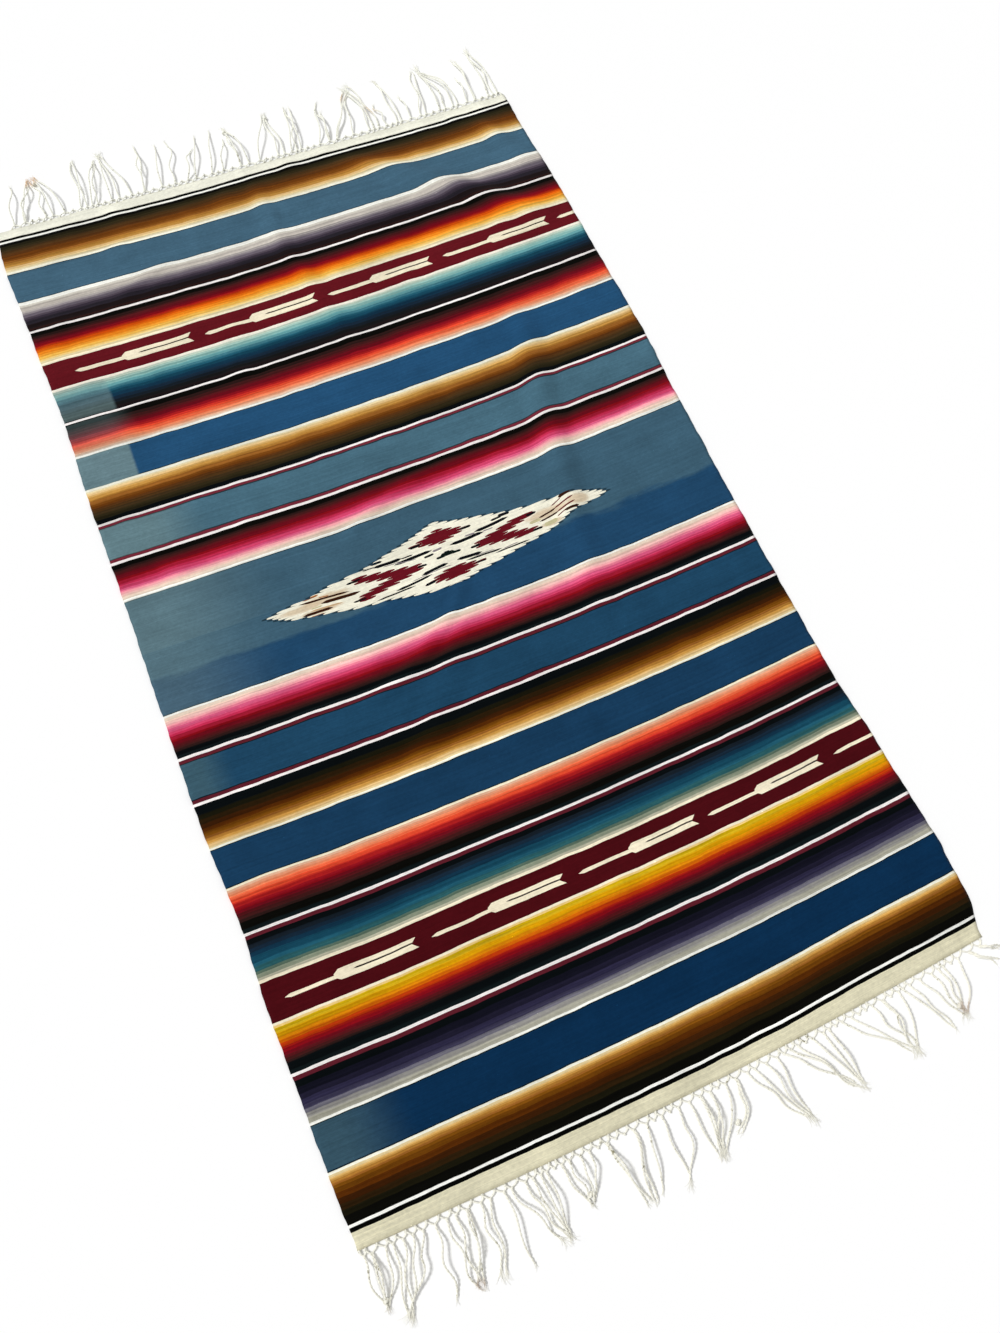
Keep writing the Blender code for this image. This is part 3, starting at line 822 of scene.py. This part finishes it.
def arrowColours(group, across, along, colour):
    # the arrows of both maroon bands laid over a colour
    for row in arrows.values():
        for start, bodyStart, end in row["each"]:
            arrow = useGroup(group, {
                "Across": across, "Along": minus(along, row["middle"]), "Start": start, "Body Start": bodyStart,
                "End": end, "Shaft": row["shaft"], "Body": row["body"], "Slit": row["slit"]})
            colour = mixColours(arrow["Arrow"], colour, dye(web["yarns"]["cream"]))
            colour = mixColours(arrow["Slit"], colour, dye(wool["slit"]))
    return colour


def woolMaterial(name, groups, motif=None):
    # one of the web's three materials: plain bands, arrow bands or the centre field
    material, shader = newMaterial(name)
    place = addNode(material.node_tree, "ShaderNodeUVMap", uv_map="loom")
    across, straight = inMillimetres(place.outputs[0], "XY")
    stray = streaks(over(across, 34.0), over(straight, 22.0), detail=4.0, seed=2.2)
    along = timesPlus(minus(stray, 0.5), 2 * wool["wander"], straight)
    onLoom = {"Across": across, "Along": along}
    weave = useGroup(groups["weave"], onLoom)
    chart = useGroup(groups["chart"], {"Along": along, "Shuttle": weave["Shuttle"]})
    picks = timesPlus(chart["Shaded"], wool["bandStreaks"], wool["fieldStreaks"])
    worn = useGroup(groups["wear"], {**onLoom, "Picks": picks})
    colour = chart["Yarn Colour"]
    if motif == "arrows":
        colour = arrowColours(groups["arrow"], across, along, colour)
    if motif == "lozenge":
        colour = useGroup(groups["lozenge"], onLoom)["Woven Colour"]
    colour = useGroup(groups["fading"], {**onLoom, "Yarn Colour": colour})["Faded Colour"]
    pickTone = timesPlus(weave["Tone"], 0.12, 0.94)
    # painted shade: the colour darkens in the grooves between the picks
    grooveShade = timesPlus(weave["Height"], 0.22, 0.85)
    feed(shader.inputs["Base Color"], scaleColour(colour, times(worn["Tone"], pickTone, grooveShade)))
    feed(shader.inputs["Roughness"], timesPlus(worn["Nap"], 0.08, wool["roughness"]))
    setInputs(shader, wool["finish"])
    addBump(shader, timesPlus(worn["Nap"], 0.5, weave["Height"]), wool["relief"])
    return material


def addPiece(name, mesh, node):
    piece = bpy.data.objects.new(name, mesh)
    link(piece)
    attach(piece, "root")
    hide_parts(node)
    return piece


# How far the beaten rows wander, in mm, at seven places across the web: along, then the shifts.
wander = {
    "across": [-390, -260, -130, 0, 120, 250, 390],
    "rows": [
        (715, 2.4, 4.2, 5.4, 2.4, 2.0, 3.8, 1.5), (640, 2.4, 4.2, 5.4, 2.4, 2.0, 3.8, 1.5),
        (560, 2.9, 3.5, 4.7, 2.5, 0.6, -2.2, -0.5), (480, 3.3, 4.9, 5.0, 2.3, -0.2, -2.0, -0.3),
        (400, 2.0, 5.1, 5.2, 2.3, -0.3, -1.4, -0.5), (320, 1.8, 4.7, 5.4, 2.9, 1.0, 0.5, 0.5),
        (240, 2.5, 2.0, 3.8, 2.2, 0.9, -1.4, 0.8), (160, 1.1, 1.5, 3.1, 2.0, 0.8, -2.0, -0.3),
        (80, 1.4, 2.3, 4.2, 1.1, 1.1, 0.3, 0.3), (-80, 1.3, 2.5, 3.9, 2.0, 2.2, 2.8, 2.5),
        (-160, 1.5, 2.8, 3.8, 2.4, 3.1, 2.7, 2.8), (-240, 1.9, 3.0, 3.3, 2.2, 2.4, 2.0, 1.9),
        (-320, -3.5, -0.5, 0.3, 1.5, 0.8, 0.6, -1.2), (-400, -3.5, 0.3, -1.1, 0.5, 0.2, 0.7, -0.5),
        (-480, 0.4, 1.4, -0.2, 0.7, 1.2, 1.7, 1.3), (-560, 0.1, 1.4, 1.0, 0.9, 2.2, 2.2, 2.0),
        (-640, 0.4, -0.3, 0.6, 1.3, 1.5, -1.1, 0.2), (-725, 0.4, -0.3, 0.6, 1.3, 1.5, -1.1, 0.2),
    ],
}


def wandering(across, along):
    # the shift of the rows at each point, in metres
    rows = np.array(sorted(wander["rows"]))
    places = rows[:, 0] / 1000
    columns = np.stack([np.interp(along, places, rows[:, i + 1]) for i in range(len(wander["across"]))])
    at = np.interp(across, np.array(wander["across"]) / 1000, np.arange(len(wander["across"])))
    low = np.clip(at.astype(int), 0, len(wander["across"]) - 2)
    share = at - low
    share = share * share * (3 - 2 * share)
    spots = np.arange(len(across))
    return (columns[low, spots] * (1 - share) + columns[low + 1, spots] * share) / 1000


# small unevenness, in metres: the sides' wobble, the slack of the cloth and the puckered headers
selvedge = {"wobble": 0.0007, "lengths": (0.041, 0.067, 0.019)}
slack = {"height": 0.0016, "across": (0.170, 0.097, 0.061), "along": (0.143, 0.089, 0.047)}
headerPuckers = {"height": 0.0011, "across": (0.034, 0.021, 0.055), "reach": 0.034}


def waves(at, lengths):
    return sum(np.sin(2 * math.pi * at / length + 7 * i) for i, length in enumerate(lengths)) / len(lengths)


def puckers(across, along):
    # never below the floor: the cloth rests on it between the low swells
    swells = waves(across + 0.35 * along, slack["across"]) * waves(along - 0.25 * across, slack["along"])
    toEnd = np.minimum(lay["farEnd"] - along, along - lay["nearEnd"])
    atEnd = np.clip(1 - toEnd / headerPuckers["reach"], 0, 1)
    ruffles = waves(across + 0.6 * along, headerPuckers["across"])
    ruffled = headerPuckers["height"] * np.clip(ruffles, 0, 1) * atEnd
    return slack["height"] * np.clip(2.2 * swells, 0, 1.5) + ruffled


def makeWeb(groups):
    # the straight web as a grid, laid out, lifted by its folds and given its thickness
    body = bmesh.new()
    length = lay["farEnd"] - lay["nearEnd"]
    columns, rows = round(2 * lay["halfWidth"] / web["cell"]), round(length / web["cell"])
    bmesh.ops.create_grid(body, x_segments=columns, y_segments=rows, size=0.5)
    body.verts.ensure_lookup_table()
    across = np.array([2 * lay["halfWidth"] * v.co.x for v in body.verts])
    along = np.array([lay["nearEnd"] + length * (v.co.y + 0.5) for v in body.verts])
    woven = along + wandering(across, along)
    loom = body.loops.layers.uv.new("loom")
    for face in body.faces:
        for corner in face.loops:
            i = corner.vert.index
            corner[loom].uv = (across[i], woven[i])
    height = foldHeight(across, along, lay["folds"]) + puckers(across, along)
    x, y = laidOut(across, along)
    # the wobble shows only at the sides
    x += selvedge["wobble"] * waves(along, selvedge["lengths"]) * (across / lay["halfWidth"]) ** 9
    for i, v in enumerate(body.verts):
        v.co = (x[i], y[i], height[i])
    body.normal_update()
    if sum(face.normal.z for face in body.faces) < 0:
        bmesh.ops.reverse_faces(body, faces=body.faces)
    for face in body.faces:
        at = along[face.loops[0].vert.index]
        face.smooth = True
        for i, (name, motif, stretches) in enumerate(web["motifs"]):
            if any(low < at < high for low, high in stretches):
                face.material_index = i + 1
    mesh = bpy.data.meshes.new("serapeWeb")
    body.to_mesh(mesh)
    body.free()
    mesh.materials.append(woolMaterial("stripedWool", groups))
    for name, motif, stretches in web["motifs"]:
        mesh.materials.append(woolMaterial(name, groups, motif))
    piece = addPiece("serapeWeb", mesh, "web")
    thicken = piece.modifiers.new("wall", "SOLIDIFY")
    thicken.thickness = web["wall"]
    thicken.offset = 1.0
    return piece


# The warp ends are knotted into a net at each end, then twisted into cords. Sizes in metres; each
# tuft, in mm, is the roots of its cords, its tip, how late they lean in, and how it ends.
cords = {
    "ply": 0.00078, "twine": 0.00068, "pitch": 0.0095, "step": 0.0014,
    "netPly": 0.00072, "netDeep": 0.0074, "netGap": 11.5, "knot": 0.0011,
    "arch": (0.0045, 0.0110), "stray": 0.0040, "seed": 23,
    "shorter": 0.007,      # how much shorter a tuft's cords may end
    "layer": 0.0011,       # how much higher each next cord of a tuft lies
    "tie": 0.011,          # how far from its tips a tuft is tied
    "leastGap": 6.5,       # cords closer than this, in mm, leave the net at one knot
    "inside": 402.0,       # how far out the net reaches, in mm
    # how far apart a tuft's tips lie in mm, its loose fibres at each tip and their length
    "ends": {"loose": (2.6, 4, 0.008), "frayed": (2.6, 9, 0.016), "knotted": (2.0, 4, 0.008)},
    "far": [
        ((-376,), (-365, 785), 1.0, "loose"), ((-361, -356), (-337, 790), 1.3, "loose"),
        ((-330, -320, -303), (-329, 792), 1.6, "knotted"), ((-279, -270), (-268, 805), 1.0, "loose"),
        ((-262, -254), (-238, 797), 1.3, "loose"), ((-233, -222, -203), (-227, 800), 1.3, "frayed"),
        ((-184, -178), (-173, 803), 1.0, "loose"), ((-157,), (-145, 795), 1.2, "loose"),
        ((-137,), (-124, 797), 1.0, "loose"), ((-117,), (-97, 768), 1.0, "loose"),
        ((-105,), (-83, 792), 1.0, "loose"), ((-80,), (-60, 795), 0.9, "loose"),
        ((-62,), (-44, 772), 1.2, "loose"), ((-35, -32, -22), (-38, 797), 1.7, "knotted"),
        ((-5,), (27, 800), 1.1, "loose"), ((25, 35), (30, 803), 1.5, "knotted"),
        ((47, 55, 62), (68, 803), 1.0, "loose"), ((92,), (116, 795), 1.0, "loose"),
        ((108, 112), (113, 778), 1.0, "loose"), ((121, 126), (165, 800), 1.1, "frayed"),
        ((148,), (161, 790), 1.3, "loose"), ((175, 183, 191), (172, 806), 1.7, "frayed"),
        ((204,), (196, 760), 1.0, "loose"), ((222, 229), (218, 810), 1.2, "loose"),
        ((245,), (243, 762), 1.0, "loose"), ((262, 271), (282, 806), 1.2, "loose"),
        ((295, 304), (292, 805), 1.7, "frayed"), ((318, 326), (298, 800), 2.2, "loose"),
        ((342,), (345, 765), 1.0, "loose"), ((356, 361), (354, 805), 1.2, "loose"),
        ((380, 388, 396), (384, 812), 1.3, "frayed"),
    ],
    "near": [
        ((-400, -392, -387, -376), (-394, -786), 1.7, "knotted"),
        ((-368, -357, -346, -335), (-374, -795), 1.4, "frayed"), ((-321,), (-326, -800), 1.0, "loose"),
        ((-308, -302), (-302, -801), 1.8, "loose"), ((-285, -280), (-297, -802), 1.6, "loose"),
        ((-269, -258), (-271, -798), 1.0, "frayed"), ((-242,), (-240, -803), 0.8, "loose"),
        ((-233, -217, -208), (-200, -793), 1.5, "frayed"), ((-199, -192), (-194, -796), 1.8, "loose"),
        ((-174, -165, -152, -141), (-158, -778), 2.0, "knotted"), ((-120, -115), (-104, -799), 1.3, "loose"),
        ((-87, -83), (-98, -800), 1.4, "loose"), ((-71,), (-84, -795), 1.1, "loose"),
        ((-52,), (-53, -795), 1.8, "loose"), ((-31,), (-49, -797), 2.0, "frayed"),
        ((-17,), (-13, -785), 2.6, "loose"), ((-3, 2), (-7, -787), 1.6, "frayed"),
        ((9, 13, 30), (-2, -786), 1.7, "frayed"), ((44, 48), (24, -780), 2.6, "knotted"),
        ((60, 70, 85), (99, -796), 1.2, "frayed"), ((100,), (104, -793), 2.2, "loose"),
        ((110, 120), (170, -794), 1.0, "loose"), ((130, 150), (176, -795), 1.2, "frayed"),
        ((165, 173), (181, -794), 1.5, "loose"), ((192, 205), (254, -791), 1.1, "loose"),
        ((235, 250), (257, -790), 1.6, "frayed"), ((255, 273), (261, -788), 2.0, "frayed"),
        ((280, 290), (314, -793), 1.2, "loose"), ((305, 322), (333, -784), 1.3, "knotted"),
        ((333, 340), (336, -785), 1.4, "frayed"), ((362,), (340, -783), 1.3, "loose"),
        ((379, 385), (404, -752), 1.1, "loose"), ((395, 401), (414, -742), 1.2, "frayed"),
    ],
}


def beyondEnd(end, across, out):
    # a place on the floor beyond one end of the web, across and out in metres
    edge, outward = (lay["farEnd"], 1) if end == "far" else (lay["nearEnd"], -1)
    x, y = laidOut(np.array([across]), np.array([edge]))
    return Vector((x[0], y[0] + outward * out, 0.0))


def addPly(strands, path, turn=0.0, offset=0.0, thick=1.0, endThick=None, pitch=None):
    # one ply as a round spline that winds round its path
    spline = strands.splines.new("POLY")
    spline.points.add(len(path) - 1)
    travelled, last = 0.0, len(path) - 1
    for i, point in enumerate(path):
        ahead = path[min(i + 1, last)] - path[max(i - 1, 0)]
        side = ahead.cross(Vector((0, 0, 1))).normalized()
        lift = side.cross(ahead).normalized()
        travelled += (point - path[i - 1]).length if i else 0.0
        angle = turn + 2 * math.pi * travelled / (pitch or cords["pitch"])
        where = point + offset * (math.cos(angle) * side + math.sin(angle) * lift)
        spline.points[i].co = (*where, 1.0)
        spline.points[i].radius = thick + ((endThick if endThick is not None else thick) - thick) * i / last


def addCord(strands, path, turn):
    for half in (0.0, math.pi):
        addPly(strands, path, turn + half, cords["twine"], 1.0, 0.8)


def addKnot(strands, middle, ahead, size=1.0, turns=2.2):
    # a thread wound tightly round its cord
    ahead = ahead.normalized()
    steps = round(9 * turns)
    path = [middle + ahead * size * cords["knot"] * (2.2 * i / steps - 1.1) for i in range(steps + 1)]
    addPly(strands, path, 0.6, cords["knot"] * size, 1.0, pitch=2.2 * size * cords["knot"] / turns)


def addFray(strands, chance, tip, ahead, count, length):
    # loose fibres past the tip
    for _ in range(count):
        swing = chance.uniform(-0.75, 0.75)
        curl = chance.uniform(-0.09, 0.09)
        reach = length * chance.uniform(0.5, 1.1)
        point, path = tip + Vector((chance.uniform(-0.0012, 0.0012), 0, chance.uniform(-0.0002, 0.0006))), []
        for step in range(8):
            path.append(point.copy())
            angle = swing * (0.35 + 0.1 * step) + curl * step
            point = point + Matrix.Rotation(angle, 3, "Z") @ ahead * reach / 7
            point.z = max(0.0004, point.z * 0.86)
        addPly(strands, path, thick=0.34, endThick=0.12)


def cordPath(chance, start, tip, bulge, height):
    # straight out from the net, then leaning in to the tip, a little above the floor between them
    length = (tip - start).length
    steps = round(length / cords["step"])
    arch, stray = chance.uniform(*cords["arch"]), chance.uniform(-1, 1) * cords["stray"]
    swings, phase = chance.uniform(0.8, 1.6), chance.uniform(0, math.pi)
    path = []
    for i in range(steps + 1):
        share = i / steps
        sway = stray * math.sin(2 * math.pi * swings * share + phase) * min(1.0, 3 * share)
        lift = cords["ply"] + cords["twine"] + arch * math.sin(math.pi * min(1, share * 1.1))
        x = start.x + (tip.x - start.x) * share ** bulge + sway
        path.append(Vector((x, start.y + (tip.y - start.y) * share, lift + height * share ** 3)))
    return path


def netKnots(end):
    # where the second row of knots lies: at the cords' roots, filled up evenly where roots are far apart
    roots = sorted(root for tuft in cords[end] for root in tuft[0])
    places = []
    for root in roots:
        if places and root - places[-1] < cords["leastGap"]:
            continue
        if places:
            fill = round((root - places[-1]) / cords["netGap"]) - 1
            start = places[-1]
            places += [start + (root - start) * (i + 1) / (fill + 1) for i in range(max(0, fill))]
        places.append(root)
    return places


def strandsToMesh(strands, name):
    made = bpy.data.objects.new(name, strands)
    link(made)
    mesh = bpy.data.meshes.new_from_object(made.evaluated_get(bpy.context.evaluated_depsgraph_get()))
    bpy.data.objects.remove(made)
    body = bmesh.new()
    body.from_mesh(mesh)
    bmesh.ops.remove_doubles(body, verts=body.verts, dist=1e-6)
    bmesh.ops.recalc_face_normals(body, faces=body.faces)
    for face in body.faces:
        face.smooth = True
    body.to_mesh(mesh)
    body.free()
    mesh.name = name
    return mesh


def newStrands(name, thickness):
    strands = bpy.data.curves.new(name, "CURVE")
    strands.dimensions = "3D"
    strands.bevel_depth = thickness
    strands.bevel_resolution = 1
    strands.use_fill_caps = True
    return strands


def makeFringe(end, material):
    chance = random.Random(cords["seed"] + (end == "far"))
    outward, edge = (1, lay["farEnd"]) if end == "far" else (-1, lay["nearEnd"])
    strands = newStrands(f"{end}Cords", cords["ply"])
    knots = netKnots(end)
    for roots, (tipAcross, tipAlong), bulge, kind in cords[end]:
        tipGap, fibres, fibreLength = cords["ends"][kind]
        for i, root in enumerate(roots):
            knot = min(knots, key=lambda place: abs(place - root))
            start = beyondEnd(end, (0.7 * knot + 0.3 * root) / 1000, cords["netDeep"] + 0.0006)
            apart = (i - (len(roots) - 1) / 2) * tipGap
            short = chance.uniform(0.0, cords["shorter"]) if len(roots) > 1 else 0.0
            out = outward * (tipAlong / 1000 - edge) - short
            tip = beyondEnd(end, (tipAcross + apart) / 1000, out)
            path = cordPath(chance, start, tip, bulge, cords["layer"] * (i % 3))
            addCord(strands, path, chance.uniform(0, 2 * math.pi))
            addFray(strands, chance, path[-1], (path[-1] - path[-4]).normalized(), fibres, fibreLength)
        if kind == "knotted":
            middle = beyondEnd(end, tipAcross / 1000, outward * (tipAlong / 1000 - edge) - cords["tie"])
            for side in (-0.0012, 0.0, 0.0014):
                place = middle + Vector((side, 0.6 * side, 0.0034 - abs(side)))
                addKnot(strands, place, Vector((0.5, 1, 0)), 1.35, 2.6)
    mesh = strandsToMesh(strands, f"{end}Fringe")
    mesh.materials.append(material)
    return addPiece(f"{end}Fringe", mesh, f"fringe_{end}")


def makeKnotRow(end, material):
    # a zigzag of thin threads between knots at the web's edge and the knots that the cords leave
    chance = random.Random(cords["seed"] + 5 + (end == "far"))
    strands = newStrands(f"{end}Net", cords["netPly"])
    outer = netKnots(end)
    inner = [outer[0] - 5] + [(a + b) / 2 for a, b in zip(outer, outer[1:])] + [outer[-1] + 5]
    inner = [max(-cords["inside"], min(cords["inside"], place)) for place in inner]
    edgeKnots = [beyondEnd(end, (place + chance.uniform(-1, 1)) / 1000, 0.0014) for place in inner]
    cordKnots = [
        beyondEnd(end, place / 1000, cords["netDeep"] + chance.uniform(-0.0006, 0.0004)) for place in outer]
    for place in edgeKnots:
        place.z = 0.0017
        addKnot(strands, place, Vector((chance.uniform(-0.5, 0.5), 1, 0)), chance.uniform(0.9, 1.15))
    for i, place in enumerate(cordKnots):
        place.z = 0.0015
        addKnot(strands, place, Vector((chance.uniform(-0.4, 0.4), 1, 0)), chance.uniform(0.8, 1.05))
        for edgeKnot in (edgeKnots[i], edgeKnots[i + 1]):
            for apart in (0.0, 0.0008):
                path = []
                for step in range(9):
                    share = step / 8
                    middle = edgeKnot.lerp(place, share)
                    bow = math.sin(math.pi * share)
                    middle.x += 0.0011 * bow * (1 if edgeKnot.x > place.x else -1) + apart * bow
                    middle.z = 0.0012 + 0.0010 * bow + apart * 0.5
                    path.append(middle)
                addPly(strands, path, thick=0.9)
    mesh = strandsToMesh(strands, f"{end}KnotRow")
    mesh.materials.append(material)
    return addPiece(f"{end}KnotRow", mesh, f"knot_row_{end}")


cotton = {
    # the cotton's far and near shades: the near one is a little darker, as painted shade
    "far": "fbfbf0", "near": "f8f6ea", "fleck": "756e3e",
    "stain": "dcae78", "rust": "a07c66",
    # stained tufts: x, y and reach in mm, how strong, and the colour
    "stains": [
        (-333, 790, 20, 0.75, "stain"), (132, 775, 16, 0.6, "stain"), (150, 792, 18, 0.5, "stain"),
        (190, 746, 14, 0.3, "stain"), (330, -775, 12, 0.5, "rust"), (-296, -800, 9, 0.5, "rust"),
        (-392, -790, 12, 0.3, "rust"),
    ],
    "roughness": 0.80,     # where the cotton is smoothest; its fibres add to it
    "relief": 0.00012,
    "finish": {"Specular IOR Level": 0.15},
}


def spunCottonGroup():
    # undyed cotton by place on the floor in mm: paler at the far end, a painted shade of the light falling off
    # toward the near end, flecked, with fine fibres
    tree, given, out = newGroup("spunCotton", {
        "X": 0.0, "Y": 0.0, "Z": 0.0, "Far Colour": dye(cotton["far"]), "Shaded Near Colour": dye(cotton["near"]),
        "Fleck Colour": dye(cotton["fleck"]), "Flecks": 0.5}, ["Yarn Colour", "Fibre"])

    def noiseAt(size, detail, seed):
        return streaks(over(given["X"], size), over(given["Y"], size), detail, 0.6, seed)

    # painted shade: the cotton darkens from the far end to the near end
    base = mixColours(stepUp(given["Y"], -500.0, 600.0), given["Shaded Near Colour"], given["Far Colour"])
    grime = stepUp(noiseAt(3.4, 3.0, 4.4), 0.54, 0.70)
    patches = stepUp(noiseAt(26.0, 2.0, 9.1), 0.42, 0.62)
    base = mixColours(times(grime, patches, given["Flecks"]), base, given["Fleck Colour"])
    fibre = noiseAt(0.45, 3.0, 2.7)
    # painted shade: the cords darken where they lie close to the floor
    low = timesPlus(stepUp(given["Z"], 0.2, 1.6), 0.10, 0.90)   # a little darker near the floor
    feed(out["Yarn Colour"], scaleColour(base, times(timesPlus(fibre, 0.16, 0.92), low)))
    feed(out["Fibre"], fibre)
    return tree


def cottonMaterial(name, group, flecks):
    material, shader = newMaterial(name)
    x, y, z = inMillimetres(addNode(material.node_tree, "ShaderNodeTexCoord").outputs["Object"])
    spun = useGroup(group, {"X": x, "Y": y, "Z": z, "Flecks": flecks})
    colour = spun["Yarn Colour"]
    for stainX, stainY, reach, strength, shade in cotton["stains"]:
        away = calc("SQRT", plus(calc("POWER", minus(x, stainX), 2.0), calc("POWER", minus(y, stainY), 2.0)))
        share = times(minus(1.0, stepUp(away, 0.3 * reach, reach)), strength)
        colour = mixColours(share, colour, dye(cotton[shade]))
    feed(shader.inputs["Base Color"], colour)
    feed(shader.inputs["Roughness"], timesPlus(spun["Fibre"], 0.1, cotton["roughness"]))
    setInputs(shader, cotton["finish"])
    addBump(shader, spun["Fibre"], cotton["relief"])
    return material


def addBakeMap(piece):
    # the top in two halves side by side, then the underside, each a column of the baked picture:
    # where the column starts, how wide it is, the place along the loom at its foot, and its length
    length = lay["farEnd"] - lay["nearEnd"]
    farHalf = (0.01, 0.40, 0.0, 0.5 * length / 0.97)
    nearHalf = (0.425, 0.40, lay["nearEnd"], 0.515 * length / 0.97)
    underside = (0.84, 0.15, lay["nearEnd"], length / 0.98)
    layer = piece.data.uv_layers.new(name="OFBake")
    loom = piece.data.uv_layers["loom"].data
    for face in piece.data.polygons:
        spots = [loom[i].uv for i in face.loop_indices]
        middle = sum(spot[1] for spot in spots) / len(spots)
        left, wide, foot, tall = underside if face.normal.z < -0.3 else farHalf if middle > 0 else nearHalf
        for i, (across, along) in zip(face.loop_indices, spots):
            share = min(1.0, max(0.0, across / (2 * lay["halfWidth"]) + 0.5))
            layer.data[i].uv = (left + wide * share, 0.01 + (along - foot) / tall)


def applyModifiers(piece):
    shaped = bpy.data.meshes.new_from_object(piece.evaluated_get(bpy.context.evaluated_depsgraph_get()))
    piece.modifiers.clear()
    piece.data = shaped
    shaped.name = piece.name


setCamera()
setStudio()
print("camera, floor and light are set")

groups = {
    "weave": weaveGroup(), "wear": wearGroup(), "chart": bandChartGroup(), "fading": fadingGroup(),
    "arrow": arrowGroup(), "lozenge": lozengeGroup(),
}
serapeWeb = makeWeb(groups)
bpy.context.view_layer.update()
applyModifiers(serapeWeb)
addBakeMap(serapeWeb)
print("web made:", len(serapeWeb.data.polygons), "faces")

spunCotton = spunCottonGroup()
cordCotton = cottonMaterial("fringeCotton", spunCotton, 0.8)
netCotton = cottonMaterial("knottedWarpCotton", spunCotton, 1.0)
ends = []
for end in ("far", "near"):
    ends += [makeKnotRow(end, netCotton), makeFringe(end, cordCotton)]
print("net and fringe made:", [len(piece.data.polygons) for piece in ends], "faces")
